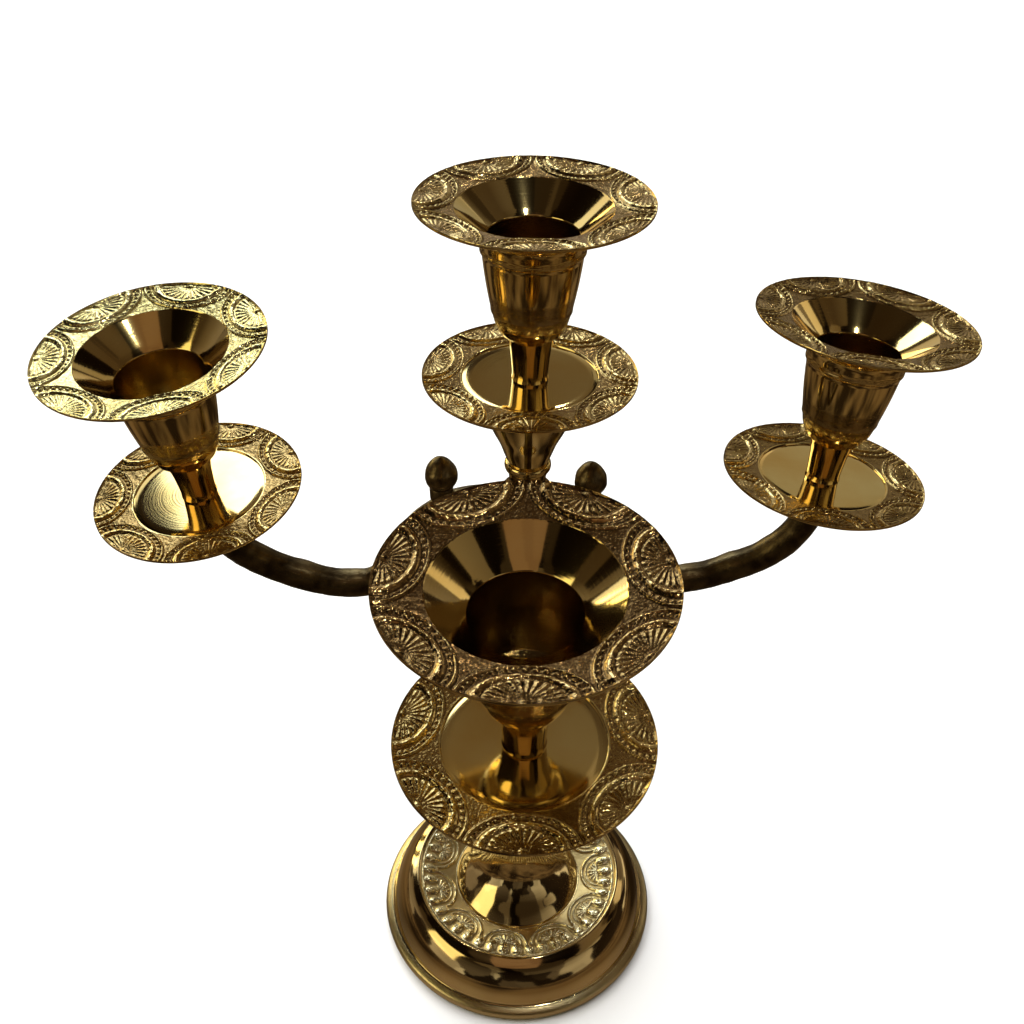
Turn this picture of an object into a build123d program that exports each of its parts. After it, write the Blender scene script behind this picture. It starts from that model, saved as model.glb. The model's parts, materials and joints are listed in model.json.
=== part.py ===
from build123d import *
import math
import os

os.makedirs("parts", exist_ok=True)

# Four-light brass candelabra, in millimetres. The origin is the centre of the felt face that
# the base stands on, +Z is up, and the front arm reaches towards -Y.

# ---- driving dimensions -------------------------------------------------------------------
candle_r = 11.0          # straight part of the candle hole, for a 22 mm taper candle
fit_gap = 0.05           # radial running clearance on rods and studs
rim_r = 28.5             # candle cup's embossed rim
mouth_r = 18.7           # where the rim ends and the straight funnel begins
funnel_drop = 8.7        # from the rim plane down to the candle hole
cup_h = 46.0             # from the drip pan's rim plane to the cup's rim plane
hole_end = 27.6          # straight part of the candle hole ends at this height
candle_floor = 17.0
stud_hole_top = 11.0
pan_r = 27.8             # drip pan
dish = 1.4               # depth of the pan's polished floor below its rim plane
pan_under = 4.2          # depth of the pan's boss below its rim plane
centre_pan_z = 231.9     # rim plane of the centre drip pan

base_r = 49.6            # widest circle of the base's lip
felt_t = 1.2             # felt disc under the base
felt_r = 47.4
base_top = 40.0          # flat on top of the base's dome, where the column stands
base_crown = 24.0        # ceiling inside the base, which the washer bears on
dome_top_r = 8.6         # the dome's neck at that flat

rod_r = 3.0              # M6 tie rod
stud_r = 2.5             # M5 studs, and the tie rod's turned-down top
stud_up = 9.5            # how far a stud stands above the pan's rim plane
stud_depth = 8.0         # tapped hole for it in the arm's end
nut_af = 10.0
nut_h = 5.0
washer_t = 1.5
washer_r = 9.0

foot_top = 50.0          # column pieces, from the base upwards
baluster_top = 118.0
knop_top = 138.0
hub_floor = 189.2        # top of the column neck, which carries the arms' eyes

eye_t = 1.6              # flat eye at the inner end of each arm
eye_r = 7.4
arm_r = 3.8              # cast arm's mean section
arm_start = 8.0          # radius at which the round arm begins
bar_drop = 0.5           # the arm's centre line lies this far below its eye's mid plane
arm_dip = 30.0           # how far the arm dips below its inner stretch
arm_rise = 15.3          # how much of the dip it climbs on the slope before it turns upwards
seat_r = 5.2             # round seat at the arm's end
seat_h = 6.5
spigot_r = 1.5           # under each bud
spigot_h = 3.2
bud_back = 65.3          # how far the bud stands inwards from its pan's centre
bud_pad = 0.2            # its seat stands this far above the arm

hub_top = hub_floor + 3 * eye_t
stem_top = centre_pan_z - pan_under
stud_hole_r = stud_r + fit_gap
bore = rod_r + fit_gap

# name, azimuth, reach of the pan's centre, height of the pan's rim plane, place of the eye in
# the stack, and the lean of the cup's axis outwards and sideways (sines)
arms = [
    ("right", 3.8, 82.8, 198.0, 0, 0.082, 0.061),
    ("front", -90.5, 92.5, 198.4, 1, 0.069, -0.012),
    ("left", 185.0, 89.0, 199.1, 2, 0.084, 0.095),
]


def upright(z):
    """Plane square to the column's axis at height z."""
    return Plane(origin=(0, 0, z))


def section(seat):
    """Plane that holds the seat's axis: local X is the radius, local Y the height."""
    return Plane(origin=seat.origin, x_dir=seat.x_dir, z_dir=-seat.y_dir)


def spindle(seat):
    return Axis(seat.origin, seat.z_dir)


def keep(part, name):
    part.label = name
    export_step(part, f"parts/{name}.step")


def direction(azimuth):
    """Unit vectors outwards and sideways at an azimuth."""
    a = math.radians(azimuth)
    return Vector(math.cos(a), math.sin(a), 0), Vector(-math.sin(a), math.cos(a), 0)


# ---- candle cups and drip pans ------------------------------------------------------------
def candle_cup(seat):
    """Tulip on a thin neck, with a candle hole, a funnel mouth and a wide thin rim."""
    with BuildPart() as cup:
        with BuildSketch(section(seat)):
            with BuildLine():
                Spline((4.6, -dish), (4.9, 4.2), (6.1, 10.7))
                Line((6.1, 10.7), (8.0, 12.2))
                Spline((8.0, 12.2), (10.1, 18.0), (11.3, 24.5), (12.5, 34.0))
                Spline((12.5, 34.0), (13.6, 38.0), (16.2, 41.0), (20.2, 43.1), (rim_r, cup_h - 0.8))
                Line((rim_r, cup_h - 0.8), (rim_r, cup_h))
                Polyline((rim_r, cup_h), (mouth_r, cup_h - 1.3), (candle_r, cup_h - funnel_drop),
                         (candle_r, hole_end), (9.0, candle_floor), (0, candle_floor), (0, stud_hole_top),
                         (stud_hole_r, stud_hole_top), (stud_hole_r, -dish), (4.6, -dish))
            make_face()
        revolve(axis=spindle(seat))
    return cup.part


def drip_pan(seat):
    """Flat dish with a raised ring, and a boss under it that sits on the arm or the stem."""
    with BuildPart() as pan:
        with BuildSketch(section(seat)):
            with BuildLine():
                Line((pan_r, -0.9), (pan_r, 0))
                Line((pan_r, 0), (18.4, -0.5))
                Line((18.4, -0.5), (17.9, -dish))
                Polyline((17.9, -dish), (stud_hole_r, -dish), (stud_hole_r, -pan_under), (6.0, -pan_under),
                         (6.0, -2.9), (17.0, -2.9))
                Spline((17.0, -2.9), (22.0, -2.3), (pan_r, -0.9))
            make_face()
        revolve(axis=spindle(seat))
    return pan.part


centre_seat = upright(centre_pan_z)
keep(drip_pan(centre_seat), "drip_pan_centre")
keep(candle_cup(centre_seat), "candle_cup_centre")


# ---- side arms ----------------------------------------------------------------------------
def arm_frame(azimuth, reach, pan_z, lean_out, lean_side):
    """Plane of the drip pan's rim: its Z is the leaning axis of the cup."""
    out, side = direction(azimuth)
    up = math.sqrt(1 - lean_out ** 2 - lean_side ** 2)
    axis = out * lean_out + side * lean_side + Vector(0, 0, up)
    return Plane(origin=out * reach + Vector(0, 0, pan_z), x_dir=out - axis * out.dot(axis), z_dir=axis)


def bud_finial(seat):
    """Pointed, egg-shaped bud on a short spigot."""
    with BuildPart() as bud:
        with BuildSketch(section(seat)):
            with BuildLine():
                Polyline((0, -spigot_h), (spigot_r, -spigot_h), (spigot_r, 0), (3.3, 0))
                Spline((3.3, 0), (4.5, 3.0), (4.1, 5.7), (2.3, 8.3), (0.4, 9.5))
                Polyline((0.4, 9.5), (0, 9.6), (0, -spigot_h))
            make_face()
        revolve(axis=spindle(seat))
    return bud.part


for name, azimuth, reach, pan_z, layer, lean_out, lean_side in arms:
    seat = arm_frame(azimuth, reach, pan_z, lean_out, lean_side)
    out, side = direction(azimuth)
    eye_z = hub_floor + (layer + 0.5) * eye_t
    bar_z = eye_z - bar_drop
    bud_at = reach - bud_back

    def place(radius, height):
        return out * radius + Vector(0, 0, height)

    low_z = bar_z - arm_dip
    turn_z = low_z + arm_rise
    turn = seat.origin - seat.z_dir * ((pan_z - turn_z) / seat.z_dir.Z)
    stop = seat.origin - seat.z_dir * (pan_under + 1.0)
    eye_plane = Plane(origin=(0, 0, eye_z), x_dir=out, z_dir=(0, 0, 1))
    bud_seat = Plane(origin=place(bud_at, bar_z + arm_r + bud_pad), x_dir=out, z_dir=(0, 0, 1))
    seat_low = seat.offset(-pan_under - seat_h)

    with BuildPart() as arm:
        with BuildLine() as route:
            FilletPolyline(place(arm_start, bar_z), place(reach - 62, bar_z), place(reach - 50, low_z),
                           place(reach - 30, low_z), turn, stop, radius=(11, 14, 18, 9))
        with BuildSketch(Plane(origin=route.line @ 0, x_dir=side, z_dir=route.line % 0)):
            Circle(arm_r)
        sweep()
        with BuildSketch(seat_low):
            Circle(seat_r - 1.4)
        with BuildSketch(seat.offset(-pan_under - 2.5)):
            Circle(seat_r)
        loft()
        with BuildSketch(seat.offset(-pan_under - 2.5)):
            Circle(seat_r)
        extrude(amount=2.5)
        with BuildSketch(bud_seat.offset(-arm_r - bud_pad)):
            Circle(3.3)
        extrude(amount=arm_r + bud_pad)
        with BuildSketch(eye_plane.offset(-eye_t / 2)):
            Circle(eye_r)
            with Locations((arm_start / 2 + 1, 0)):
                Rectangle(arm_start + 1, 5.6)
        extrude(amount=eye_t)
        with BuildSketch(eye_plane.offset(-eye_t / 2)):
            Circle(bore)
        extrude(amount=eye_t, mode=Mode.SUBTRACT)
        with BuildSketch(seat.offset(-pan_under - stud_depth)):
            Circle(stud_hole_r)
        extrude(amount=stud_depth, mode=Mode.SUBTRACT)
        with BuildSketch(bud_seat.offset(-spigot_h - 0.1)):
            Circle(spigot_r + fit_gap)
        extrude(amount=spigot_h + 0.1, mode=Mode.SUBTRACT)
    keep(arm.part, f"arm_{name}")

    keep(bud_finial(bud_seat), f"bud_finial_{name}")
    keep(drip_pan(seat), f"drip_pan_{name}")
    keep(candle_cup(seat), f"candle_cup_{name}")

    with BuildPart() as stud:
        with BuildSketch(seat.offset(-pan_under - stud_depth + 0.2)):
            Circle(stud_r)
        extrude(amount=pan_under + stud_depth - 0.2 + stud_up)
        chamfer(stud.edges().filter_by(GeomType.CIRCLE), length=0.5)
    keep(stud.part, f"cup_stud_{name}")


# ---- base ---------------------------------------------------------------------------------
with BuildPart() as base_shell:
    with BuildSketch(section(upright(0))):
        with BuildLine():
            ThreePointArc((48.0, felt_t), (base_r, 3.3), (47.4, 6.0))
            Line((47.4, 6.0), (46.6, 6.2))
            Spline((46.6, 6.2), (44.3, 12.5), (40.5, 17.6), (36.6, 20.0))
            Line((36.6, 20.0), (36.2, 19.4))
            Line((36.2, 19.4), (22.8, 16.0))
            Line((22.8, 16.0), (22.4, 15.5))
            Spline((22.4, 15.5), (19.6, 18.6), (16.2, 21.9), (13.2, 25.6), (10.9, 29.9), (9.3, 34.8),
                   (dome_top_r, base_top))
            Polyline((dome_top_r, base_top), (bore, base_top), (bore, base_crown), (9.6, base_crown))
            Spline((9.6, base_crown), (12.0, 20.8), (15.0, 17.6), (18.4, 14.8), (22.5, 13.3))
            Line((22.5, 13.3), (35.4, 16.9))
            Spline((35.4, 16.9), (39.0, 15.4), (42.2, 11.2), (44.6, 5.4))
            Line((44.6, 5.4), (44.6, felt_t))
            Line((44.6, felt_t), (48.0, felt_t))
        make_face()
    revolve(axis=Axis.Z)
keep(base_shell.part, "base_shell")

with BuildPart() as base_felt:
    Cylinder(felt_r, felt_t, align=(Align.CENTER, Align.CENTER, Align.MIN))
    fillet(base_felt.edges().group_by(Axis.Z)[0], radius=0.3)
keep(base_felt.part, "base_felt")

with BuildPart() as base_washer:
    with BuildSketch(upright(base_crown - washer_t)):
        Circle(washer_r)
        Circle(rod_r + 0.2, mode=Mode.SUBTRACT)
    extrude(amount=washer_t)
keep(base_washer.part, "base_washer")

nut_z = base_crown - washer_t - nut_h
with BuildPart() as base_nut:
    with BuildSketch(upright(nut_z)):
        RegularPolygon(nut_af / 2, 6, major_radius=False)
        Circle(bore, mode=Mode.SUBTRACT)
    extrude(amount=nut_h)
keep(base_nut.part, "base_nut")

with BuildPart() as tie_rod:
    with BuildSketch(upright(nut_z - 2.5)):
        Circle(rod_r)
    extrude(amount=stem_top - nut_z + 2.5)
    with BuildSketch(upright(stem_top)):
        Circle(stud_r)
    extrude(amount=pan_under + stud_up)
    chamfer(tie_rod.edges().group_by(Axis.Z)[-1], length=0.5)
    chamfer(tie_rod.edges().group_by(Axis.Z)[0], length=0.6)
keep(tie_rod.part, "tie_rod")

# ---- column, turned pieces on the rod -----------------------------------------------------
with BuildPart() as column_foot:
    with BuildSketch(section(upright(0))):
        with BuildLine():
            Line((bore, base_top), (8.0, base_top))
            ThreePointArc((8.0, base_top), (9.6, 41.9), (8.0, 43.8))
            Line((8.0, 43.8), (7.4, 44.0))
            Spline((7.4, 44.0), (6.4, 45.2), (6.2, 46.6))
            ThreePointArc((6.2, 46.6), (7.9, 48.3), (6.2, foot_top))
            Polyline((6.2, foot_top), (bore, foot_top), (bore, base_top))
        make_face()
    revolve(axis=Axis.Z)
keep(column_foot.part, "column_foot")

with BuildPart() as column_baluster:
    with BuildSketch(section(upright(0))):
        with BuildLine():
            Polyline((bore, foot_top), (6.8, foot_top), (7.2, 52.0))
            Spline((7.2, 52.0), (12.2, 66.0), (9.2, 87.0), (5.6, 111.6))
            ThreePointArc((5.6, 111.6), (8.0, 114.2), (5.8, 116.8))
            Polyline((5.8, 116.8), (5.8, baluster_top), (bore, baluster_top), (bore, foot_top))
        make_face()
    revolve(axis=Axis.Z)
keep(column_baluster.part, "column_baluster")

with BuildPart() as column_knop:
    with BuildSketch(section(upright(0))):
        with BuildLine():
            Polyline((bore, baluster_top), (6.6, baluster_top), (6.6, 120.0))
            ThreePointArc((6.6, 120.0), (11.6, 128.0), (6.6, 136.0))
            Polyline((6.6, 136.0), (6.6, knop_top), (bore, knop_top), (bore, baluster_top))
        make_face()
    revolve(axis=Axis.Z)
keep(column_knop.part, "column_knop")

with BuildPart() as column_neck:
    with BuildSketch(section(upright(0))):
        with BuildLine():
            Polyline((bore, knop_top), (6.9, knop_top), (6.9, 140.0))
            Spline((6.9, 140.0), (5.1, 152.0), (5.3, 166.0), (7.4, 177.6))
            ThreePointArc((7.4, 177.6), (9.4, 180.0), (7.0, 182.2))
            Polyline((7.0, 182.2), (7.0, hub_floor), (bore, hub_floor), (bore, knop_top))
        make_face()
    revolve(axis=Axis.Z)
keep(column_neck.part, "column_neck")

with BuildPart() as upper_stem:
    with BuildSketch(section(upright(0))):
        with BuildLine():
            Polyline((bore, hub_top), (7.0, hub_top), (7.0, 195.2))
            Spline((7.0, 195.2), (5.0, 197.6), (5.5, 201.6))
            ThreePointArc((5.5, 201.6), (6.4, 203.1), (5.6, 204.6))
            Spline((5.6, 204.6), (7.9, 211.1), (9.9, 215.4), (13.6, 225.4))
            Polyline((13.6, 225.4), (13.6, stem_top), (bore, stem_top), (bore, hub_top))
        make_face()
    revolve(axis=Axis.Z)
keep(upper_stem.part, "upper_stem")
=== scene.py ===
# %% [markdown]
# # A four-light brass candelabra
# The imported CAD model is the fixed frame: it says where every cup, pan, arm and column piece is. This
# lesson gives those pieces their looks. Cast brass shows two finishes side by side, parts turned on a
# lathe until they are mirrors, and parts left as they came out of the mould, with relief and dark hollows.

# %% Load the frame
import json
import math

import bmesh
import bpy
import numpy as np
from mathutils import Matrix, Vector, geometry, noise


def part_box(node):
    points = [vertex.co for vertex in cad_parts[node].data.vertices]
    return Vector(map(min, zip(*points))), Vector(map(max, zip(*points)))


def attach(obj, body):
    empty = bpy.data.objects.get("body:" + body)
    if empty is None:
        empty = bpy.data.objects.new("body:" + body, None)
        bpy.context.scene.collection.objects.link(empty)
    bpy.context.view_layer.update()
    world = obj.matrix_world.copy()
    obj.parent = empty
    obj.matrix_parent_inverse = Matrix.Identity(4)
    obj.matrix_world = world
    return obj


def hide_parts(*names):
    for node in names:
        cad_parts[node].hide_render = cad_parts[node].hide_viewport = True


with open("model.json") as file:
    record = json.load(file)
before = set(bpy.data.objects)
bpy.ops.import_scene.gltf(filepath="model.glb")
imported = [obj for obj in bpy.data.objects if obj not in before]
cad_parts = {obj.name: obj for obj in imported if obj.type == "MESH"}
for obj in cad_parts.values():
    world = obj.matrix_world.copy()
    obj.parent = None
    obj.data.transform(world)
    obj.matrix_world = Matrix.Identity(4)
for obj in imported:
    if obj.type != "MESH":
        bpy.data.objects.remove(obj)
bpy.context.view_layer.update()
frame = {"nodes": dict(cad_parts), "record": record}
record = frame["record"]
MM = 0.001
TURN = 2 * math.pi
scene = bpy.context.scene

# %% [markdown]
# ## The camera
# The view looks down on the candelabra from the front, close enough for the front cup to loom large.
# A camera's matrix is three directions and a place: its own right, its own up, and backwards.

# %% Camera
CAMERA_PLACE = Vector((-0.0041, -0.2481, 0.3766))
CAMERA_PITCH = math.radians(37.48)
CAMERA_ROLL = math.radians(-0.87)

forward = Vector((0, math.cos(CAMERA_PITCH), -math.sin(CAMERA_PITCH)))
level_up = Vector((0, math.sin(CAMERA_PITCH), math.cos(CAMERA_PITCH)))
right = Vector((1, 0, 0)) * math.cos(CAMERA_ROLL) - level_up * math.sin(CAMERA_ROLL)
up = right.cross(forward)

camera_data = bpy.data.cameras.new("camera")
camera_data.sensor_width = 36
camera_data.lens = 39.03
camera_data.clip_start = 0.01
camera = bpy.data.objects.new("camera", camera_data)
camera.matrix_world = Matrix.Translation(CAMERA_PLACE) @ Matrix((right, up, -forward)).transposed().to_4x4()
scene.collection.objects.link(camera)
scene.camera = camera
print("camera", tuple(round(v, 3) for v in CAMERA_PLACE))


# %% [markdown]
# ## Small helpers
# A shader is a net of nodes, and a short function for adding one keeps the materials easy to read.
# Values that never change over the surface are set on the sockets; only colours, masks and heights
# travel along links.

# %% Shader helpers
def add_node(tree, kind, **settings):
    """A node of a kind in a tree; each setting is an attribute of the node."""
    node = tree.nodes.new(kind)
    for name, value in settings.items():
        setattr(node, name, value)
    return node


def ramp_of(tree, stops):
    """A colour ramp with (place, colour) stops."""
    ramp = add_node(tree, "ShaderNodeValToRGB")
    elements = ramp.color_ramp.elements
    while len(elements) < len(stops):
        elements.new(0.5)
    for element, (place, colour) in zip(elements, stops):
        element.position = place
        element.color = (*colour, 1)
    return ramp


def new_material(name):
    """An empty node material with its Principled shader."""
    material = bpy.data.materials.new(name)
    material.use_nodes = True
    return material, material.node_tree, material.node_tree.nodes["Principled BSDF"]


# %% [markdown]
# ## Fine scratches and tarnish, one group for every metal
# Lacquered brass is never quite even. Wide soft clouds of tarnish change its colour and its gloss, and
# a finer noise breaks the mirror up. The group puts out the cloud mask and a height for the bump.

# %% Tarnish group
tarnish = bpy.data.node_groups.new("tarnish", "ShaderNodeTree")
for socket_name, default in (("Cloud scale", 60.0), ("Grain scale", 1500.0)):
    socket = tarnish.interface.new_socket(socket_name, in_out="INPUT", socket_type="NodeSocketFloat")
    socket.default_value = default
tarnish.interface.new_socket("Cloud", in_out="OUTPUT", socket_type="NodeSocketFloat")
tarnish.interface.new_socket("Grain", in_out="OUTPUT", socket_type="NodeSocketFloat")
group_in = add_node(tarnish, "NodeGroupInput")
group_out = add_node(tarnish, "NodeGroupOutput")
where = add_node(tarnish, "ShaderNodeTexCoord")
cloud = add_node(tarnish, "ShaderNodeTexNoise")
cloud.inputs["Detail"].default_value = 4
grain = add_node(tarnish, "ShaderNodeTexNoise")
grain.inputs["Detail"].default_value = 2
for texture, source, target in ((cloud, "Cloud scale", "Cloud"), (grain, "Grain scale", "Grain")):
    tarnish.links.new(where.outputs["Object"], texture.inputs["Vector"])
    tarnish.links.new(group_in.outputs[source], texture.inputs["Scale"])
    tarnish.links.new(texture.outputs["Fac"], group_out.inputs[target])
print("tarnish group has", len(tarnish.nodes), "nodes")


def add_tarnish(tree, cloud_scale, grain_scale):
    """The tarnish group, placed in a material with its own scales."""
    group = add_node(tree, "ShaderNodeGroup", node_tree=tarnish)
    group.inputs["Cloud scale"].default_value = cloud_scale
    group.inputs["Grain scale"].default_value = grain_scale
    return group


def add_bump(tree, height, shader, distance, strength):
    """Turn a height into the shader's normal; distance is in metres."""
    bump = add_node(tree, "ShaderNodeBump")
    bump.inputs["Distance"].default_value = distance
    bump.inputs["Strength"].default_value = strength
    tree.links.new(height, bump.inputs["Height"])
    tree.links.new(bump.outputs["Normal"], shader.inputs["Normal"])


def link_range(tree, value, socket, low, high):
    """Feed a socket with a value stretched from 0..1 to low..high."""
    stretch = add_node(tree, "ShaderNodeMapRange")
    stretch.inputs["To Min"].default_value = low
    stretch.inputs["To Max"].default_value = high
    tree.links.new(value, stretch.inputs["Value"])
    tree.links.new(stretch.outputs["Result"], socket)


# %% [markdown]
# ## Polished and embossed brass in one material
# A cup is one casting, so it gets one material. Each vertex carries a few numbers: *cast* says how much
# of the mould's rough skin is left, 0 on the mirror and 1 on the relief, *relief* says how high it
# stands, and *lathe_radius* lets faint tool marks run round a mirror. Hollows keep dark patina, the
# ground between them is half cleaned, and the tops of the ridges are rubbed bright.

# %% Brass materials
BRIGHT = (0.86, 0.68, 0.31)
WARM = (0.76, 0.51, 0.17)
MIRROR_GLOSS = (0.05, 0.12)
SKIN_DEPTH = 0.00008


def brass(name, bright, warm, hollow, ground, ridge, cast_gloss):
    """Mirror colours, three colours of the relief from low to high, and the relief's roughness."""
    material, tree, shader = new_material(name)
    shader.inputs["Metallic"].default_value = 1.0
    marks = add_tarnish(tree, 45.0, 1800.0)
    cast = add_node(tree, "ShaderNodeAttribute", attribute_name="cast")
    relief = add_node(tree, "ShaderNodeAttribute", attribute_name="relief")

    mirror = ramp_of(tree, ((0.35, bright), (0.7, warm)))
    tree.links.new(marks.outputs["Cloud"], mirror.inputs["Fac"])
    skin = ramp_of(tree, ((0.02, hollow), (0.24, ground), (0.85, ridge)))
    tree.links.new(relief.outputs["Fac"], skin.inputs["Fac"])
    colour = add_node(tree, "ShaderNodeMix", data_type="RGBA")
    tree.links.new(cast.outputs["Fac"], colour.inputs["Factor"])
    tree.links.new(mirror.outputs["Color"], colour.inputs["A"])
    tree.links.new(skin.outputs["Color"], colour.inputs["B"])
    tree.links.new(colour.outputs["Result"], shader.inputs["Base Color"])

    rough = add_node(tree, "ShaderNodeMix", data_type="FLOAT")
    tree.links.new(cast.outputs["Fac"], rough.inputs["Factor"])
    link_range(tree, marks.outputs["Cloud"], rough.inputs["A"], *MIRROR_GLOSS)
    link_range(tree, relief.outputs["Fac"], rough.inputs["B"], *cast_gloss)
    tree.links.new(rough.outputs["Result"], shader.inputs["Roughness"])

    specks = add_node(tree, "ShaderNodeMapRange")
    specks.inputs["From Min"].default_value = 0.52
    specks.inputs["From Max"].default_value = 0.70
    tree.links.new(marks.outputs["Grain"], specks.inputs["Value"])
    grit = add_node(tree, "ShaderNodeMath", operation="MULTIPLY")
    tree.links.new(specks.outputs["Result"], grit.inputs[0])
    tree.links.new(cast.outputs["Fac"], grit.inputs[1])
    lathe_radius = add_node(tree, "ShaderNodeAttribute", attribute_name="lathe_radius")
    groove = add_node(tree, "ShaderNodeTexNoise", noise_dimensions="1D")
    groove.inputs["Scale"].default_value = 2.2
    groove.inputs["Detail"].default_value = 3.0
    tree.links.new(lathe_radius.outputs["Fac"], groove.inputs["W"])
    height = add_node(tree, "ShaderNodeMath", operation="MULTIPLY_ADD")
    height.inputs[1].default_value = 0.12
    tree.links.new(groove.outputs["Fac"], height.inputs[0])
    tree.links.new(grit.outputs["Value"], height.inputs[2])
    add_bump(tree, height.outputs["Value"], shader, SKIN_DEPTH, 0.5)
    return material


cup_brass = brass("cup brass", BRIGHT, WARM, hollow=(0.10, 0.05, 0.015), ground=(0.35, 0.22, 0.08),
                  ridge=(0.80, 0.60, 0.26), cast_gloss=(0.22, 0.11))
# painted shade: a darker copy of the cup brass, for the front cup's relief
painted_shade_brass = brass("cup brass with painted shade", BRIGHT, WARM, hollow=(0.08, 0.035, 0.008),
                   ground=(0.13, 0.07, 0.024), ridge=(0.60, 0.40, 0.17), cast_gloss=(0.22, 0.11))
# painted highlight: a paler copy of the cup brass, for the left cup's relief
painted_highlight_brass = brass("cup brass with painted highlight", BRIGHT, WARM, hollow=(0.14, 0.08, 0.025),
                     ground=(0.84, 0.68, 0.28), ridge=(0.97, 0.86, 0.45), cast_gloss=(0.24, 0.14))
base_brass = brass("base brass", (0.86, 0.67, 0.34), (0.74, 0.53, 0.25), hollow=(0.60, 0.45, 0.20),
                   ground=(0.66, 0.49, 0.23), ridge=(0.95, 0.83, 0.52), cast_gloss=(0.38, 0.18))
arm_bronze = brass("arm bronze", (0.20, 0.14, 0.07), (0.15, 0.10, 0.05), hollow=(0.035, 0.024, 0.013),
                   ground=(0.06, 0.04, 0.02), ridge=(0.34, 0.25, 0.12), cast_gloss=(0.42, 0.28))
print("five brass finishes mixed")


# %% [markdown]
# ## Plain finishes for the hidden hardware
# The rod, studs, washer and nut are plated steel, and the disc under the base is green felt. They are
# CAD pieces whose shape is right, so they only need a material.

# %% Steel and felt
def plated_steel():
    material, tree, shader = new_material("plated steel")
    shader.inputs["Metallic"].default_value = 1.0
    marks = add_tarnish(tree, 120.0, 2500.0)
    colour = ramp_of(tree, ((0.3, (0.62, 0.61, 0.58)), (0.7, (0.46, 0.45, 0.43))))
    tree.links.new(marks.outputs["Cloud"], colour.inputs["Fac"])
    tree.links.new(colour.outputs["Color"], shader.inputs["Base Color"])
    link_range(tree, marks.outputs["Cloud"], shader.inputs["Roughness"], 0.25, 0.45)
    add_bump(tree, marks.outputs["Grain"], shader, 0.00005, 0.4)
    return material


def green_felt():
    material, tree, shader = new_material("green felt")
    shader.inputs["Sheen Weight"].default_value = 0.4
    shader.inputs["Roughness"].default_value = 0.95
    marks = add_tarnish(tree, 300.0, 1400.0)
    colour = ramp_of(tree, ((0.3, (0.02, 0.085, 0.045)), (0.7, (0.045, 0.15, 0.08))))
    tree.links.new(marks.outputs["Grain"], colour.inputs["Fac"])
    tree.links.new(colour.outputs["Color"], shader.inputs["Base Color"])
    add_bump(tree, marks.outputs["Grain"], shader, 0.0004, 0.9)
    return material


steel = plated_steel()
felt = green_felt()
for node_name, material in (("tie_rod", steel), ("base_washer", steel), ("base_nut", steel),
                            ("cup_stud_front", steel), ("cup_stud_left", steel),
                            ("cup_stud_right", steel), ("base_felt", felt)):
    slots = frame["nodes"][node_name].material_slots
    for slot in slots:
        slot.material = material
print("hardware finished")


# %% [markdown]
# ## Turning on the lathe
# Most pieces are round, so one function does the turning: an outline of radii and heights becomes a
# row of vertices, and the spin operator turns it. Vertices on the axis land on each other, so doubles
# are merged and the normals recalculated.

# %% Lathe
def bow(points, count):
    """A smooth row of points through the given ones, count steps in each stretch."""
    path = [Vector((*p, 0)) for p in points]
    path = [path[0] * 2 - path[1]] + path + [path[-1] * 2 - path[-2]]
    row = []
    for before, start, end, after in zip(path, path[1:], path[2:], path[3:]):
        row += geometry.interpolate_bezier(start, start + (end - before) / 6, end - (after - start) / 6,
                                           end, count + 1)[:-1]
    row.append(path[-2])
    return [(p.x, p.y) for p in row]


def lathe(outline, steps, wedges=1):
    """A closed bmesh turned from an outline in millimetres, as one spin or as a repeated wedge of it."""
    bm = bmesh.new()
    verts = [bm.verts.new((radius * MM, 0, height * MM)) for radius, height in outline]
    edges = [bm.edges.new(pair) for pair in zip(verts, verts[1:])]
    bmesh.ops.spin(bm, geom=verts + edges, cent=(0, 0, 0), axis=(0, 0, 1), angle=TURN / wedges,
                   steps=steps // wedges, use_merge=wedges == 1)
    wedge = bm.verts[:] + bm.edges[:] + bm.faces[:]
    for number in range(1, wedges):
        copy = bmesh.ops.duplicate(bm, geom=wedge)["geom"]
        bmesh.ops.rotate(bm, verts=[part for part in copy if isinstance(part, bmesh.types.BMVert)],
                         cent=(0, 0, 0), matrix=Matrix.Rotation(TURN * number / wedges, 3, "Z"))
    bmesh.ops.remove_doubles(bm, verts=bm.verts, dist=1e-7)
    bmesh.ops.recalc_face_normals(bm, faces=bm.faces)
    return bm


def to_mesh(bm, name, crease=50):
    """Finish a bmesh as a smooth-shaded mesh with sharp edges above an angle in degrees."""
    mesh = bpy.data.meshes.new(name)
    bm.to_mesh(mesh)
    bm.free()
    mesh.shade_smooth()
    mesh.set_sharp_from_angle(angle=math.radians(crease))
    return mesh


def points_of(mesh):
    """A mesh's vertices in millimetres, as rows of x, y, z."""
    flat = np.empty(len(mesh.vertices) * 3)
    mesh.vertices.foreach_get("co", flat)
    return flat.reshape(-1, 3) / MM


def mark(mesh, name, values):
    """Store one number for each vertex."""
    layer = mesh.attributes.new(name, "FLOAT", "POINT")
    layer.data.foreach_set("value", np.ascontiguousarray(values, dtype=np.float32))


def remark(mesh, name, chosen, value):
    """Change the stored number on some of the vertices."""
    layer = mesh.attributes[name]
    values = np.empty(len(mesh.vertices), dtype=np.float32)
    layer.data.foreach_get("value", values)
    values[chosen] = value
    layer.data.foreach_set("value", values)


def show(name, mesh, body, node, material):
    """Turn a mesh into a piece that stands for a CAD node and rides with its body."""
    mesh.materials.clear()
    mesh.materials.append(material)
    piece = bpy.data.objects.new(name, mesh)
    scene.collection.objects.link(piece)
    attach(piece, body)
    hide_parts(node)
    return piece


# %% [markdown]
# ## The embossed border
# Seven arches stand round every rim and pan, their open side at the outer edge. Each has a fine
# ridge, a row of beads, a broad rounded crescent and a ribbed bowl inside it. The ring is a fine
# grid of vertices, and a height formula lifts them, so the relief is real shape.

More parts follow.
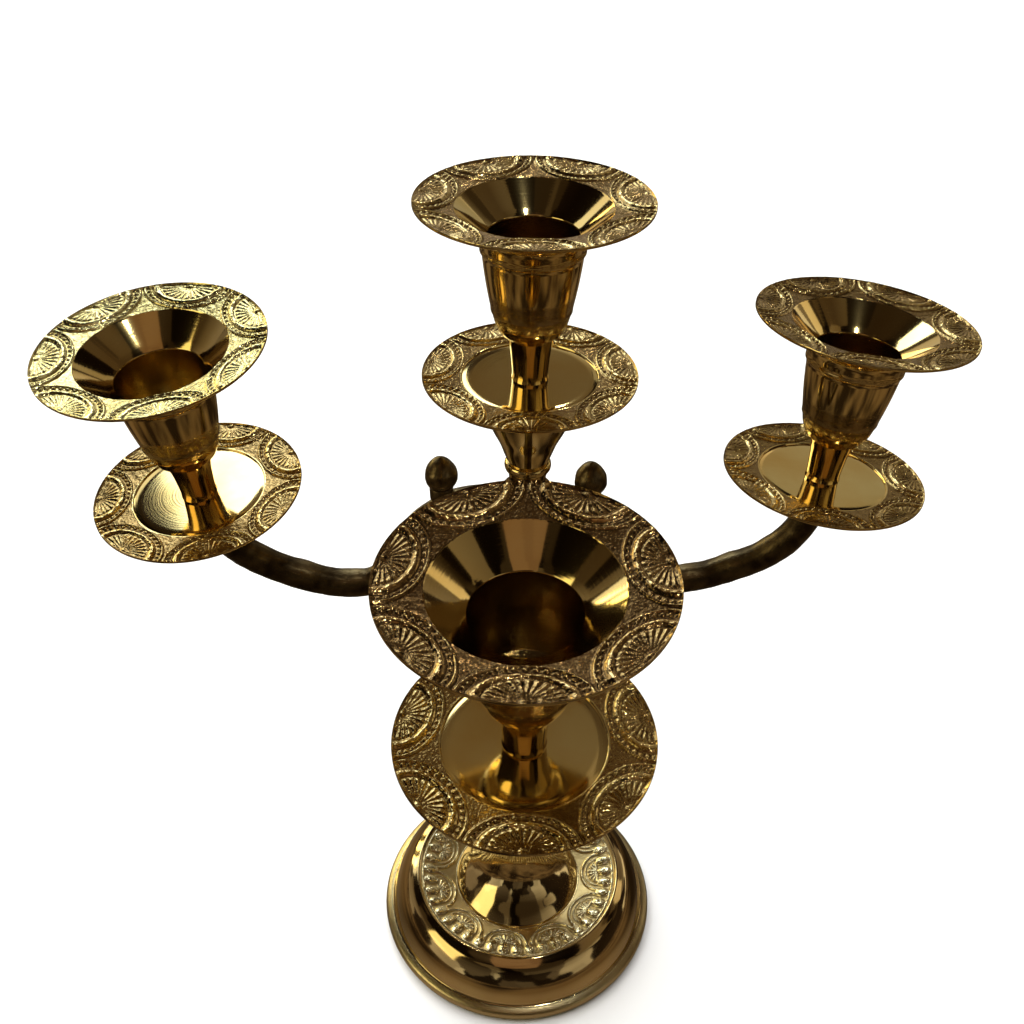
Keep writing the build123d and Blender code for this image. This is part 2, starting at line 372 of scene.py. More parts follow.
# %% Border relief
ARCHES = 7
RELIEF = 0.85
SUNK = 0.75
FINE_SKIN, WORN_SKIN = 0.45, 1.3


def ridge(distance, width):
    """A rounded ridge: 1 on its line, 0 from a width away."""
    return np.clip(1 - (distance / width) ** 2, 0, 1)


def casting_noise(points, size, seed):
    """Uneven skin of a sand casting, from -1 to 1, one value for each point in millimetres."""
    shift = Vector((seed * 3.7, seed * 1.3, 0))
    return np.array([noise.noise(Vector(p) / size + shift) for p in points])


def border_height(x, y, outer, width):
    """Relief of one ring in millimetres above its ground; x, y are from the ring's centre."""
    radius = np.hypot(x, y)
    pitch = TURN / ARCHES
    angle = np.mod(np.arctan2(y, x) + pitch / 2, pitch) - pitch / 2
    across = radius * np.sin(angle)
    inward = outer - radius * np.cos(angle)
    half = outer * math.sin(pitch / 2) * 0.985
    spring = 1.3
    rise = np.maximum(inward - spring, 0) / (width - spring - 0.2)
    rho = np.hypot(across / half, rise)
    turn = np.arctan2(rise, across / half)

    height = 0.10 + 0.10 * np.clip((1.0 - rho) / 0.03, 0, 1)
    height = np.maximum(height, 0.80 * ridge(rho - 0.965, 0.035))
    beads = np.clip(0.35 + np.cos(turn * 36), 0, 1) ** 0.6
    height = np.maximum(height, 0.24 + 0.42 * ridge(rho - 0.885, 0.045) * beads)
    crescent = (0.22 + 0.60 * ridge(rho - 0.70, 0.105)) * (1 + 0.04 * np.cos(turn * 11))
    height = np.where(np.abs(rho - 0.70) < 0.105, np.maximum(height, crescent), height)

    fan_x = across / half
    fan_y = (inward - 1.0) / (width - 1.0)
    bowl = np.hypot(fan_x, fan_y) / 0.60
    ribs = (0.5 + 0.5 * np.cos(np.arctan2(fan_y, fan_x) * 26)) ** 0.7
    ribs *= np.clip(bowl / 0.4, 0, 1) * np.clip((1 - bowl) / 0.08, 0, 1)
    shell = 0.16 + 0.22 * bowl ** 2 + 0.24 * ribs
    height = np.where(bowl < 1, np.maximum(shell, 0.50 * ridge(bowl, 0.2)), height)
    return height


def emboss(mesh, outer, inner, ground, seed, height_at):
    """Lift the ring between two radii by a relief and mark it as cast skin."""
    points = points_of(mesh)
    radius = np.hypot(points[:, 0], points[:, 1])
    level = ground(radius)
    ring = (radius > inner + 0.1) & (radius < outer - 0.04) & (points[:, 2] > level - 0.02)
    x, y = points[ring, 0], points[ring, 1]
    height = height_at(x, y)
    skin = casting_noise(points[ring], FINE_SKIN, seed)
    wear = casting_noise(points[ring], WORN_SKIN, seed + 5)
    height = height * (1 + 0.2 * wear) + 0.03 * skin
    fade = np.clip((outer - radius[ring]) / 0.5, 0, 1)
    points[ring, 2] += (height - RELIEF) * fade
    mesh.vertices.foreach_set("co", (points * MM).ravel())
    mesh.update()
    relief = np.ones(len(points))
    relief[ring] = np.clip(height / RELIEF + 0.1 * skin, 0, 1)
    mark(mesh, "relief", relief)
    mark(mesh, "cast", ring * 1.0)
    mark(mesh, "lathe_radius", radius)


print("border ready,", ARCHES, "arches, up to", RELIEF, "mm high")


# %% [markdown]
# ## Candle cups
# A cup is a tulip on a thin neck with a wide rim. Its outline runs from the floor of the candle hole,
# up the straight bore, out over the funnel mouth and the ring, round the thin edge and down the
# outside. The ring's stretch has many points, because the relief needs them.

# %% One cup, turned and embossed
RIM, PAN = 28.5, 27.8
CUP_H, DISH = 46.0, 1.4
HOLE, HOLE_FLOOR, HOLE_END = 11.0, 17, 27.6
MOUTH, FUNNEL_DROP = 18.7, 8.7
AIR = 0.015
RIM_STEPS = 88 * ARCHES


def rim_ground(radius):
    """Height of the rim's ground, which falls a little towards the mouth."""
    return CUP_H - 1.3 * (RIM - radius) / (RIM - MOUTH)


def cup_mesh():
    """One cup, embossed, standing on the floor of its pan with the pan's rim plane at zero."""
    mouth_z = CUP_H - FUNNEL_DROP
    inside = [(0, HOLE_FLOOR), (8.6, HOLE_FLOOR), (9, 17.3), (HOLE - 0.02, HOLE_END), (HOLE, 28.2),
              (HOLE, mouth_z - 0.3), (HOLE + 0.05, mouth_z)]
    mouth_edge = rim_ground(MOUTH) - SUNK
    slope = (mouth_edge - mouth_z) / (MOUTH - HOLE)
    funnel = [(r, mouth_z + slope * (r - HOLE)) for r in (HOLE + 0.2, 13, 15, 17, MOUTH - 0.15, MOUTH)]
    ring = [(r, rim_ground(r)) for r in np.linspace(MOUTH + 0.15, RIM - 0.05, 42)]
    edge = [(RIM, CUP_H - 0.15), (RIM, CUP_H - 0.7), (RIM - 0.15, CUP_H - 0.85)]
    flare = bow([(25.0, 44.3), (20.2, 43.0), (16.2, 41.0), (13.6, 38.0), (12.75, 34.6)], 5)
    bead = [(12.9, 34.2), (12.9, 33.6), (12.5, 33.2)]
    tulip = bow([(12.4, 33.0), (11.9, 28.8), (11.2, 24.0), (10.2, 18.6)], 4)
    waist = [(10.25, 18.3), (10.2, 17.9), (9.95, 17.7)]
    lower = bow([(9.9, 17.5), (9.2, 14.8), (8.1, 12.4)], 4)
    step = [(7.7, 12.0), (6.5, 11.1), (6.15, 10.8)]
    neck = bow([(6.05, 10.5), (5.3, 7.2), (4.9, 3.6), (4.65, 0.2), (4.75, -1.1)], 4)
    foot = [(4.8, AIR - DISH), (0, AIR - DISH)]
    outline = inside + funnel + ring + edge + flare + bead + tulip + waist + lower + step + neck + foot
    mesh = to_mesh(lathe(outline, RIM_STEPS, ARCHES), "cup")
    emboss(mesh, RIM, MOUTH, rim_ground, 1, lambda x, y: border_height(x, y, RIM, RIM - MOUTH))
    points = points_of(mesh)
    deep = (np.hypot(points[:, 0], points[:, 1]) < HOLE + 0.05) & (points[:, 2] > 16.5)
    deep &= points[:, 2] < mouth_z
    remark(mesh, "cast", deep, 0.62)
    remark(mesh, "relief", deep, 0.12)
    return mesh


# %% [markdown]
# ## Drip pans
# A pan is the same border round a flat mirror floor. The underside is plain and slightly coned, with a
# boss where it sits on the arm.

# %% One pan
DISH_R = 17.9


def pan_ground(radius):
    """Height of the border's ground, which falls a little towards the floor."""
    return -0.5 * (PAN - radius) / (PAN - DISH_R)


def pan_mesh():
    """One drip pan with its rim plane at zero."""
    floor = [(0, -DISH)] + [(r, -DISH) for r in np.linspace(3, 17.0, 8)]
    rise = [(17.4, -DISH - 0.12), (17.5, -DISH - 0.12), (17.6, -1.15), (17.7, -1.08), (17.85, -1.1)]
    ring = [(r, pan_ground(r)) for r in np.linspace(DISH_R + 0.15, PAN - 0.05, 42)]
    under = [(PAN, -0.2), (PAN, -0.75), (PAN - 0.15, -0.9)] + bow([(25, -1.6), (21, -2.4), (17, -2.9)], 3)
    boss = [(6.6, -2.9), (6.1, -3.1), (6.0, -3.4), (6.0, -4.0), (5.8, -4.2), (0, -4.2)]
    mesh = to_mesh(lathe(floor + rise + ring + under + boss, RIM_STEPS, ARCHES), "pan")
    emboss(mesh, PAN, DISH_R, pan_ground, 2, lambda x, y: border_height(x, y, PAN, PAN - DISH_R))
    return mesh


# %% [markdown]
# ## Placing the cups and pans
# The record's candle bores give each cup's axis, and the rim plane of its pan lies a fixed distance
# down that axis. One mesh is copied four times and moved. The front and left cups get their own copies of
# the brass, with painted shade darkening the front one's relief and a painted highlight making the left
# one's relief pale.

# %% Cups and pans in their places
BORE_LENGTH = 9.7
BORE_MID = HOLE_END + BORE_LENGTH / 2
# the front cup gets the copy of the brass with painted shade, the left cup the copy with a painted highlight
CUP_BRASS_AND_PAINTED_LIGHT = {"centre": cup_brass, "front": painted_shade_brass, "left": painted_highlight_brass, "right": cup_brass}
bores = {mount["name"]: mount for mount in record["mounts"]}


def seat_of(which):
    """Matrix of a pan's rim plane: Z along the cup's axis, X away from the column."""
    bore = bores["candle_" + which]
    axis = Vector(bore["axis"])
    origin = Vector(bore["pos_m"]) - axis * BORE_MID * MM
    out = Vector((0, -1, 0)) if which == "centre" else Vector((origin.x, origin.y, 0))
    x = (out - axis * out.dot(axis)).normalized()
    return Matrix.Translation(origin) @ Matrix((x, axis.cross(x), axis)).transposed().to_4x4()


def placed(mesh, name, matrix):
    """A moved copy of a mesh."""
    copy = mesh.copy()
    copy.name = name
    copy.transform(matrix)
    return copy


cup, pan = cup_mesh(), pan_mesh()
for which in ("centre", "front", "left", "right"):
    seat = seat_of(which)
    cup_name, pan_name = "candle_cup_" + which, "drip_pan_" + which
    holder = "stand" if which == "centre" else "arm_" + which
    show("cup_" + which, placed(cup, cup_name, seat), "cup_" + which, cup_name,
         CUP_BRASS_AND_PAINTED_LIGHT[which])
    show("pan_" + which, placed(pan, pan_name, seat), holder, pan_name,
         cup_brass)
print("cup has", len(cup.vertices), "vertices, pan", len(pan.vertices))


# %% [markdown]
# ## The base
# The base is a hollow casting: a rolled satin lip, a mirror-bright bell, a band of petals and small
# arches set into its top, and a dome that sweeps up to the column. The outline is a closed loop,
# because a rod passes through the middle, so the turned shape is a ring with a real bore.

# %% Base with its petal band
BAND_IN, BAND_OUT = 22.8, 36.2
BASE_TOP, CROWN = 40.0, 24.0
LIP_IN, LIP_TOP = 46.9, 6.3
PETALS = 44
ROD_BORE = 3.05


def band_ground(radius):
    """Height of the band's ground, which rises towards the bell."""
    return 16.0 + 3.4 * (radius - BAND_IN) / (BAND_OUT - BAND_IN)


def band_height(x, y):
    """Petals at the outside, double-lined arches with ribbed fans inside them, in millimetres."""
    radius = np.hypot(x, y)
    angle = np.arctan2(y, x)
    pitch = TURN / PETALS
    side = (np.mod(angle + pitch / 2, pitch) - pitch / 2) * radius / 2.05
    along = (radius - 32.4) / 2.8
    petal = np.sqrt(np.clip(1 - side ** 2 - along ** 2, 0, 1))
    height = np.maximum(0.15 + 0 * radius, 0.15 + 0.95 * petal)
    height = np.maximum(height, 0.75 * ridge(radius - 35.2, 0.55))

    wide = 4 * pitch
    turn = np.mod(angle + wide / 2, wide) - wide / 2
    across = turn * 27.0 / (wide * 27.0 / 2 * 0.95)
    inward = (29.8 - radius) / 6.2
    rho = np.hypot(across, np.maximum(inward, 0))
    height = np.maximum(height, np.where(radius < 30.2, 0.8 * ridge(rho - 0.93, 0.09), 0))
    height = np.maximum(height, np.where(radius < 30.2, 0.6 * ridge(rho - 0.70, 0.06), 0))
    spread = np.arctan2(inward, across)
    rib = 0.55 + 0.45 * np.cos(spread * 14)
    fan = np.clip((0.60 - rho) / 0.08, 0, 1) * (radius < 30.0)
    return np.maximum(height, fan * (0.25 + 0.55 * rib))


def base_mesh():
    """The whole hollow base: dome, band, bell and lip outside, bell and ceiling inside."""
    top = [(ROD_BORE, BASE_TOP), (8.4, BASE_TOP), (8.6, 39.8)]
    dome = bow([(8.65, 39.5), (9.3, 34.8), (10.9, 29.9), (13.2, 25.6), (16.2, 21.9), (19.6, 18.6),
                (22.3, 15.7)], 6)
    step = [(22.4, 15.4), (22.5, 15.3), (22.7, 15.4)]
    band = [(r, band_ground(r)) for r in np.linspace(BAND_IN + 0.15, BAND_OUT, 54)]
    crest = [(36.3, 19.45), (36.45, 19.85), (36.7, 20.0)]
    bell = bow([(37.0, 20.0), (40.5, 17.7), (44.2, 12.8), (46.4, 6.8)], 9)
    lip = [(46.5, 6.35), (46.75, 6.1), (47.3, 6.02)] + bow([(47.6, 5.95), (49.2, 5.0), (49.6, 3.4),
                                                           (49.2, 2.0), (48.3, 1.3)], 4)
    under = [(48.0, 1.2), (44.7, 1.2), (44.6, 1.4), (44.6, 5.4)]
    inner = bow([(44.5, 5.6), (42.2, 11.2), (39.0, 15.4), (35.4, 16.9)], 4) + [(22.5, 13.3)]
    ceiling = bow([(22.3, 13.4), (18.4, 14.8), (15.0, 17.6), (12.0, 20.8), (9.6, CROWN)], 4)
    ceiling += [(ROD_BORE, CROWN)]
    outline = top + dome + step + band + crest + bell + lip + under + inner + ceiling
    mesh = to_mesh(lathe(outline + outline[:1], PETALS * 14, PETALS // 4), "base")
    emboss(mesh, BAND_OUT, BAND_IN, band_ground, 3, band_height)
    points = points_of(mesh)
    rolled = (np.hypot(points[:, 0], points[:, 1]) > LIP_IN) & (points[:, 2] < LIP_TOP)
    remark(mesh, "cast", rolled, 1.0)
    remark(mesh, "relief", rolled, 0.5)
    return mesh


show("base", base_mesh(), "stand", "base_shell", base_brass)


# %% [markdown]
# ## The column
# Under the front cup the column is four turned pieces on one rod: a foot, a baluster, a knop and a
# neck. A trumpet-shaped stem stands on the arms' eyes and carries the centre pan. Each is one
# outline and one turn of the lathe, all mirror and no relief.

# %% Turned pieces of the column
COLUMN_STEPS = 128


def turned(name, node, outline):
    """A turned piece of the column, bored for the rod."""
    low, high = outline[0][1], outline[-1][1]
    loop = [(ROD_BORE, low)] + outline + [(ROD_BORE, high), (ROD_BORE, low)]
    mesh = to_mesh(lathe(loop, COLUMN_STEPS), name, crease=40)
    mark(mesh, "cast", np.zeros(len(mesh.vertices)))
    mark(mesh, "relief", np.ones(len(mesh.vertices)))
    return show(name, mesh, "stand", node, cup_brass)


def torus(radius, low, high, out, count=6):
    """Points of a half-round moulding that swells by out between two heights."""
    turns = np.linspace(-math.pi / 2, math.pi / 2, count * 2 + 1)
    middle, half = (low + high) / 2, (high - low) / 2
    return [(radius + out * math.cos(t), middle + half * math.sin(t)) for t in turns]


turned("foot", "column_foot",
       torus(8.0, 40.0, 43.8, 1.6) + [(7.5, 43.9)] + bow([(7.4, 44.0), (6.4, 45.2), (6.2, 46.5)], 5)
       + torus(6.2, 46.6, 50.0, 1.7))
turned("baluster", "column_baluster",
       [(6.8, 50.0), (7.2, 51.9)]
       + bow([(7.3, 52.1), (10.6, 58.0), (12.25, 66.5), (11.3, 77.0), (8.9, 88.5), (6.6, 100.5),
              (5.65, 111.4)], 7)
       + torus(5.7, 111.7, 116.7, 2.3) + [(5.8, 118.0)])
turned("knop", "column_knop",
       [(6.6, 118.0), (6.6, 119.6), (6.3, 119.8)] + torus(6.4, 120.0, 136.0, 5.2, 12)
       + [(6.3, 136.2), (6.6, 136.4), (6.6, 138.0)])
turned("neck", "column_neck",
       [(6.9, 138.0), (6.9, 139.8)]
       + bow([(6.8, 140.2), (5.3, 150.0), (5.1, 160.0), (5.9, 170.5), (7.3, 177.3)], 7)
       + torus(7.2, 177.6, 182.2, 2.2) + [(7.0, 182.4), (7.0, 189.2)])
turned("stem", "upper_stem",
       [(6.8, 194.0), (7.0, 194.2), (7.0, 194.9)]
       + bow([(6.8, 195.4), (5.5, 196.6), (5.0, 198.2), (5.3, 200.4), (5.5, 201.4)], 4)
       + torus(5.5, 201.6, 204.6, 0.9, 4)
       + bow([(5.7, 204.9), (6.6, 207.4), (7.9, 211.1), (9.9, 215.4), (12.4, 221.6), (13.5, 225.2)], 5)
       + [(13.6, 225.6), (13.6, 227.5), (13.4, 227.7)])
print("column turned")


# %% [markdown]
# ## The side arms
# Each arm is a bronze casting with a dark skin: a flat eye at the column, a level stretch under the
# bud, a dip, and a rise to the pan. A curve carries a round section along a smooth route, and the
# mesh made from it is then swollen where cast leaves wrap the arm. The route's corners are measured
# inward from the cup, because every cup stands at its own reach.

# %% Arm routes
ARM_R = 3.8
DIP, RISE = 30.0, 15.3
BAR_END, DIP_START, DIP_END = 62, 50, 30
HUB, BOSS = 7.6, 6.0
SIDES = 40
SPIGOT, BUD_PAD = 3.2, 0.2
EYE_R, EYE_T = 7.4, 1.6


def arm_corners(which):
    """Corners of the arm's centre line in millimetres, hub first, and the place of its bud."""
    seat = seat_of(which)
    origin, axis = seat.translation / MM, seat.to_3x3().col[2]
    out = Vector((origin.x, origin.y, 0)).normalized()
    reach = Vector((origin.x, origin.y, 0)).length
    low, high = (Vector(corner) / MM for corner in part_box("bud_finial_" + which))
    bar = low.z + SPIGOT - BUD_PAD - ARM_R
    dip = bar - DIP
    turn = origin - axis * ((origin.z - dip - RISE) / axis.z)

    def at(radius, height):
        return out * radius + Vector((0, 0, height))

    corners = [at(HUB, bar), at(reach - BAR_END, bar), at(reach - DIP_START, dip),
               at(reach - DIP_END, dip), turn, origin - axis * BOSS]
    return corners, at((low.xy + high.xy).length / 2, low.z + SPIGOT), out


def tube_mesh(corners):
    """A round tube along a smooth curve steered by the corners, in millimetres."""
    curve = bpy.data.curves.new("route", "CURVE")
    curve.dimensions = "3D"
    curve.resolution_u = 30
    curve.bevel_depth = ARM_R
    curve.bevel_resolution = SIDES // 2 - 2
    curve.use_fill_caps = True
    spline = curve.splines.new("NURBS")
    spline.points.add(len(corners) - 1)
    for point, corner in zip(spline.points, corners):
        point.co = (*corner, 1)
    spline.order_u = 3
    spline.use_endpoint_u = True
    holder = bpy.data.objects.new("route", curve)
    mesh = bpy.data.meshes.new_from_object(holder)
    bpy.data.objects.remove(holder)
    bpy.data.curves.remove(curve)
    return mesh


# %% [markdown]
# The mesh comes out ring by ring, so its points fold into a table of rings and sides. Each ring is
# scaled about its own middle: leaves swell the upper side in slow waves, faint flutes run along it,
# and the hub end is rounded off.

# %% Arm mesh
def swell(share, around):
    """How much the section grows: share of the length, and the angle round it with the top at pi/2."""
    body = 0.86 + 0.24 * np.clip((share - 0.25) / 0.5, 0, 1) ** 1.3
    wrap = np.clip((share - 0.42) / 0.1, 0, 1) * np.clip((0.93 - share) / 0.1, 0, 1)
    leaf = (0.5 - 0.5 * np.cos(TURN * 13 * share + 1.2 * np.sin(around))) ** 1.5
    leaves = np.clip(0.35 + 0.65 * np.sin(around), 0, 1) * leaf * wrap
    flutes = 0.018 * np.cos(around * 8 + share * 14) * np.sin(math.pi * share)
    nose = np.sqrt(np.clip(share / 0.012, 0.25, 1))
    return body * (1 + 0.11 * leaves + flutes) * nose, leaves


def arm_mesh(which, seed):
    """The whole casting: swollen tube, end under the pan, pad under the bud, and the eye."""
    corners, bud_place, out = arm_corners(which)
    mesh = tube_mesh(corners)
    table = (points_of(mesh) * MM).reshape(-1, SIDES, 3)
    middle = table.mean(axis=1, keepdims=True)
    spoke = table - middle
    steps = np.linalg.norm(np.diff(middle[:, 0], axis=0), axis=1)
    share = np.concatenate(([0], np.cumsum(steps))) / steps.sum()
    side = np.array((-out.y, out.x, 0))
    around = np.arctan2(spoke[..., 2], spoke @ side)
    scale, leaves = swell(share[:, None], around)
    table = (middle + spoke * scale[..., None]).reshape(-1, 3)
    skin = casting_noise(table, 2.2, seed)
    table += (spoke / ARM_R).reshape(-1, 3) * (0.10 * skin)[:, None]
    mesh.vertices.foreach_set("co", (table * MM).ravel())

    bm = bmesh.new()
    bm.from_mesh(mesh)
    bpy.data.meshes.remove(mesh)
    seat = seat_of(which)
    end = [(0, -4.2), (4.9, -4.2), (5.2, -4.5), (5.2, -6.4), (4.9, -6.9)]
    end += bow([(4.6, -7.3), (3.9, -9.2), (3.5, -11.4)], 4) + [(0, -12.0)]
    pad = [(0, -3.8), (3.2, -3.8), (3.3, -0.4), (3.0, 0), (0, 0)]
    face = EYE_T / 2 - AIR
    eye = [(ROD_BORE, -face), (EYE_R - 0.25, -face), (EYE_R, -0.55), (EYE_R, 0.55),
           (EYE_R - 0.25, face), (ROD_BORE, face), (ROD_BORE, -face)]
    eye_z = corners[0].z + 0.5
    for outline, matrix in ((end, seat), (pad, Matrix.Translation(bud_place * MM)),
                            (eye, Matrix.Translation((0, 0, eye_z * MM)))):
        part = to_mesh(lathe(outline, 64), "part")
        part.transform(matrix)
        bm.from_mesh(part)
        bpy.data.meshes.remove(part)
    link = bmesh.ops.create_cube(bm, size=MM)["verts"]
    bmesh.ops.scale(bm, verts=link, vec=(5.0, 5.6, EYE_T))
    heading = Matrix((out, Vector((-out.y, out.x, 0)), Vector((0, 0, 1)))).transposed().to_4x4()
    hub_place = (out * HUB + Vector((0, 0, eye_z))) * MM
    bmesh.ops.transform(bm, verts=link, matrix=Matrix.Translation(hub_place) @ heading)
    body = to_mesh(bm, "arm_" + which)
    points = points_of(body)
    relief = np.full(len(points), 0.4)
    relief[:len(skin)] = 0.30 + 0.35 * leaves.ravel() + 0.22 * skin
    mark(body, "relief", np.clip(relief, 0, 1))
    mark(body, "cast", np.ones(len(points)))
    return body


# %% [markdown]
# The buds stand on the arms like acorns: full near the foot and drawn up to a blunt point, with the
# uneven skin of the mould.

# %% Arms and buds
def bud_mesh(place, seed):
    """A bud with slightly uneven lobes, standing on its arm."""
    outline = [(0, 0), (3.2, 0)] + bow([(3.3, 0.1), (4.2, 1.6), (4.5, 3.2), (4.1, 5.7), (2.3, 8.3),
                                        (0.45, 9.45)], 6) + [(0.25, 9.57), (0, 9.6)]
    mesh = to_mesh(lathe(outline, 72), "bud")
    points = points_of(mesh)
    skin = casting_noise(points, 1.5, seed)
    turn = np.arctan2(points[:, 1], points[:, 0])
    lobes = 0.03 * np.cos(turn * 3 + seed) + 0.02 * skin
    high = np.clip((points[:, 2] - 0.2) / 2, 0, 1)
    points[:, :2] *= (1 + lobes * high)[:, None]
    mesh.vertices.foreach_set("co", (points * MM).ravel())
    mark(mesh, "relief", np.clip(0.5 + 0.35 * skin, 0, 1))
    mark(mesh, "cast", np.ones(len(points)))
    mesh.transform(Matrix.Translation(place * MM))
    return mesh


for seed, which in enumerate(("front", "left", "right"), 11):
    show("arm_" + which + "_casting", arm_mesh(which, seed), "arm_" + which, "arm_" + which,
         arm_bronze)
    show("bud_" + which, bud_mesh(arm_corners(which)[1], seed), "arm_" + which,
         "bud_finial_" + which, arm_bronze)
print("three arms cast")


# %% [markdown]
# ## Floor and light
# A polished surface shows what stands round it, so the light is part of the look. The floor is pale to
# the eye, but mirrors see a dark table with pale streaks. One wide soft sun lights everything and isn't
# mirrored, and a few soft lamps stand for windows, a curtain and a ceiling, which the brass shows as
# bright patches.

# %% Stage
def stage_floor():
    """A pale floor that mirrors see as a dim table with a paler mat round the base."""
    bm = bmesh.new()
    bmesh.ops.create_circle(bm, cap_ends=True, segments=96, radius=6.0)
    mesh = to_mesh(bm, "floor")
    material, tree, shader = new_material("pale floor")
    shader.inputs["Base Color"].default_value = (0.9, 0.9, 0.9, 1)
    shader.inputs["Roughness"].default_value = 0.8
    shader.inputs["Specular IOR Level"].default_value = 0.1
    spot = add_node(tree, "ShaderNodeTexCoord")
    distance = add_node(tree, "ShaderNodeVectorMath", operation="LENGTH")
    tree.links.new(spot.outputs["Object"], distance.inputs[0])
    mat = ramp_of(tree, ((0.050, (0.11, 0.09, 0.07)), (0.075, (0.05, 0.036, 0.022))))
    tree.links.new(distance.outputs["Value"], mat.inputs["Fac"])
    streaks = add_node(tree, "ShaderNodeTexNoise")
    streaks.inputs["Scale"].default_value = 7.0
    tree.links.new(spot.outputs["Object"], streaks.inputs["Vector"])
    table = ramp_of(tree, ((0.42, (0.25, 0.22, 0.2)), (0.60, (2.2, 2.1, 1.9))))
    tree.links.new(streaks.outputs["Fac"], table.inputs["Fac"])
    cloth = add_node(tree, "ShaderNodeMix", data_type="RGBA", blend_type="MULTIPLY")
    cloth.inputs["Factor"].default_value = 1.0
    tree.links.new(mat.outputs["Color"], cloth.inputs["A"])
    tree.links.new(table.outputs["Color"], cloth.inputs["B"])
    dim = add_node(tree, "ShaderNodeBsdfDiffuse")
    tree.links.new(cloth.outputs["Result"], dim.inputs["Color"])
    path = add_node(tree, "ShaderNodeLightPath")
    seen = add_node(tree, "ShaderNodeMixShader")
    tree.links.new(path.outputs["Is Glossy Ray"], seen.inputs["Fac"])
    tree.links.new(shader.outputs["BSDF"], seen.inputs[1])
    tree.links.new(dim.outputs["BSDF"], seen.inputs[2])
    tree.links.new(seen.outputs["Shader"], tree.nodes["Material Output"].inputs["Surface"])
    mesh.materials.append(material)
    floor = bpy.data.objects.new("floor", mesh)
    scene.collection.objects.link(floor)


def add_lamp(name, kind, place, power, colour, **settings):
    """A lamp at a place, turned to face the middle of the candelabra."""
    data = bpy.data.lights.new(name, kind)
    data.energy = power
    data.color = colour
    for setting, value in settings.items():
        setattr(data, setting, value)
    lamp = bpy.data.objects.new(name, data)
    facing = (Vector(MIDDLE) - Vector(place)).to_track_quat("-Z", "Y")
    lamp.matrix_world = Matrix.Translation(place) @ facing.to_matrix().to_4x4()
    scene.collection.objects.link(lamp)
    return lamp


MIDDLE = (0, -0.03, 0.16)
DAYLIGHT = (0.86, 0.97, 1.0)
stage_floor()
overcast = add_lamp("overcast", "SUN", (-0.5, 0.5, 2.4), 4.1, (1, 1, 1), angle=math.radians(75))
overcast.visible_glossy = False

SQUARE_LAMPS = (
    ("window_back_left", (-0.48, 1.195, 1.18), 4.0, DAYLIGHT, 0.58),
    ("curtain", (-1.05, 0.98, 0.82), 1.0, (1.0, 0.98, 0.85), 0.55),
    ("wall_right", (0.74, 1.57, 0.78), 0.62, (1.0, 0.90, 0.66), 0.8),
    ("window_left", (-1.1, -0.55, 0.65), 2.2, (1.0, 0.88, 0.45), 0.68),
    ("window_right", (1.25, 0.55, 0.75), 0.2, (1.0, 0.85, 0.55), 0.32),
    ("ceiling_behind", (0, -0.85, 1.35), 0.34, (1.0, 0.6, 0.34), 0.8),
    ("spot", (0.35, -0.5, 1.9), 2.0, (1.0, 1.0, 0.9), 0.10),
    ("glint", (0.15, 1.5, 1.5), 0.8, (1.0, 1.0, 0.9), 0.07),
)
for name, place, power, colour, size in SQUARE_LAMPS:
    add_lamp(name, "AREA", place, power, colour, size=size)

PANE_REACH, PANE_HEIGHT = 1.5, 0.43
for azimuth in (117, 125, 133, 141):
    bearing = math.radians(azimuth)
    place = (PANE_REACH * math.cos(bearing), PANE_REACH * math.sin(bearing), PANE_HEIGHT)
    add_lamp("low_pane", "AREA", place, 0.8, (1.0, 0.85, 0.36), shape="RECTANGLE", size=0.12, size_y=0.45)
print("lit by", len(bpy.data.lights), "lamps")


# %% [markdown]
# The room itself is a sky made of blocks: a Voronoi pattern measured in squares gives dim walls and
# paler panels, a slow noise bends their edges, and mirror brass turns them into bands. It fades to dark
# overhead and dims towards the front. The brass is lit by it and mirrors it, while the view itself gets
# a plain pale backdrop.

# %% Room
world = bpy.data.worlds.new("room")
scene.world = world
world.use_nodes = True
sky = world.node_tree
direction = add_node(sky, "ShaderNodeTexCoord")
panels = add_node(sky, "ShaderNodeTexVoronoi", distance="CHEBYCHEV")
panels.inputs["Scale"].default_value = 2.3
waves = add_node(sky, "ShaderNodeTexNoise")
waves.inputs["Scale"].default_value = 2.5
sky.links.new(direction.outputs["Generated"], waves.inputs["Vector"])
bent = add_node(sky, "ShaderNodeVectorMath", operation="MULTIPLY_ADD")
bent.inputs[1].default_value = (0.5, 0.5, 0.5)
sky.links.new(waves.outputs["Color"], bent.inputs[0])
sky.links.new(direction.outputs["Generated"], bent.inputs[2])
centred = add_node(sky, "ShaderNodeVectorMath", operation="SUBTRACT")
centred.inputs[1].default_value = (0.25, 0.25, 0.25)
sky.links.new(bent.outputs["Vector"], centred.inputs[0])
sky.links.new(centred.outputs["Vector"], panels.inputs["Vector"])
split = add_node(sky, "ShaderNodeSeparateColor")
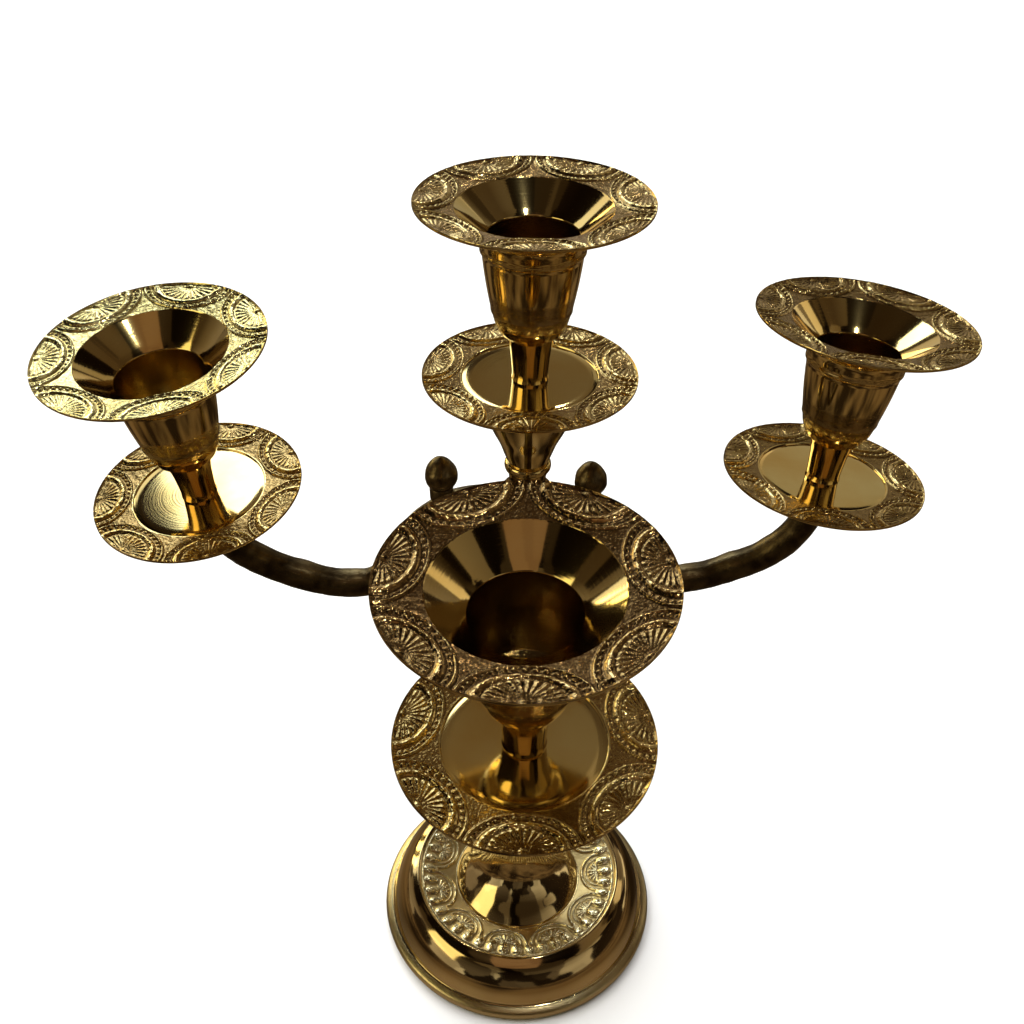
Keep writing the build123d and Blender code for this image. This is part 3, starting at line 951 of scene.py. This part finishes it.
sky.links.new(panels.outputs["Color"], split.inputs["Color"])
walls = ramp_of(sky, ((0.30, (0.020, 0.013, 0.008)), (0.55, (0.10, 0.075, 0.05)), (0.80, (0.32, 0.27, 0.20)),
                      (0.95, (0.85, 0.78, 0.62))))
sky.links.new(split.outputs["Red"], walls.inputs["Fac"])
compass = add_node(sky, "ShaderNodeSeparateXYZ")
sky.links.new(direction.outputs["Generated"], compass.inputs["Vector"])
overhead = ramp_of(sky, ((0.25, (1, 1, 1)), (0.42, (0.5, 0.47, 0.42)), (0.50, (0.24, 0.20, 0.15)),
                         (0.78, (0.20, 0.16, 0.12)), (0.88, (0.35, 0.31, 0.26))))
sky.links.new(compass.outputs["Z"], overhead.inputs["Fac"])
shade = add_node(sky, "ShaderNodeMix", data_type="RGBA", blend_type="MULTIPLY")
shade.inputs["Factor"].default_value = 1.0
sky.links.new(walls.outputs["Color"], shade.inputs["A"])
sky.links.new(overhead.outputs["Color"], shade.inputs["B"])
sky.links.new(shade.outputs["Result"], sky.nodes["Background"].inputs["Color"])
viewer_side = add_node(sky, "ShaderNodeMapRange")
for socket_name, value in (("From Min", -0.6), ("From Max", 0.1), ("To Min", 0.55), ("To Max", 1.0)):
    viewer_side.inputs[socket_name].default_value = value
sky.links.new(compass.outputs["Y"], viewer_side.inputs["Value"])
sky.links.new(viewer_side.outputs["Result"], sky.nodes["Background"].inputs["Strength"])
backdrop = add_node(sky, "ShaderNodeBackground")
backdrop.inputs["Color"].default_value = (0.9, 0.9, 0.9, 1)
sight = add_node(sky, "ShaderNodeLightPath")
seen_sky = add_node(sky, "ShaderNodeMixShader")
sky.links.new(sight.outputs["Is Camera Ray"], seen_sky.inputs["Fac"])
sky.links.new(sky.nodes["Background"].outputs["Background"], seen_sky.inputs[1])
sky.links.new(backdrop.outputs["Background"], seen_sky.inputs[2])
sky.links.new(seen_sky.outputs["Shader"], sky.nodes["World Output"].inputs["Surface"])
scene.view_settings.view_transform = "Standard"
print("room has", len(sky.nodes), "nodes")
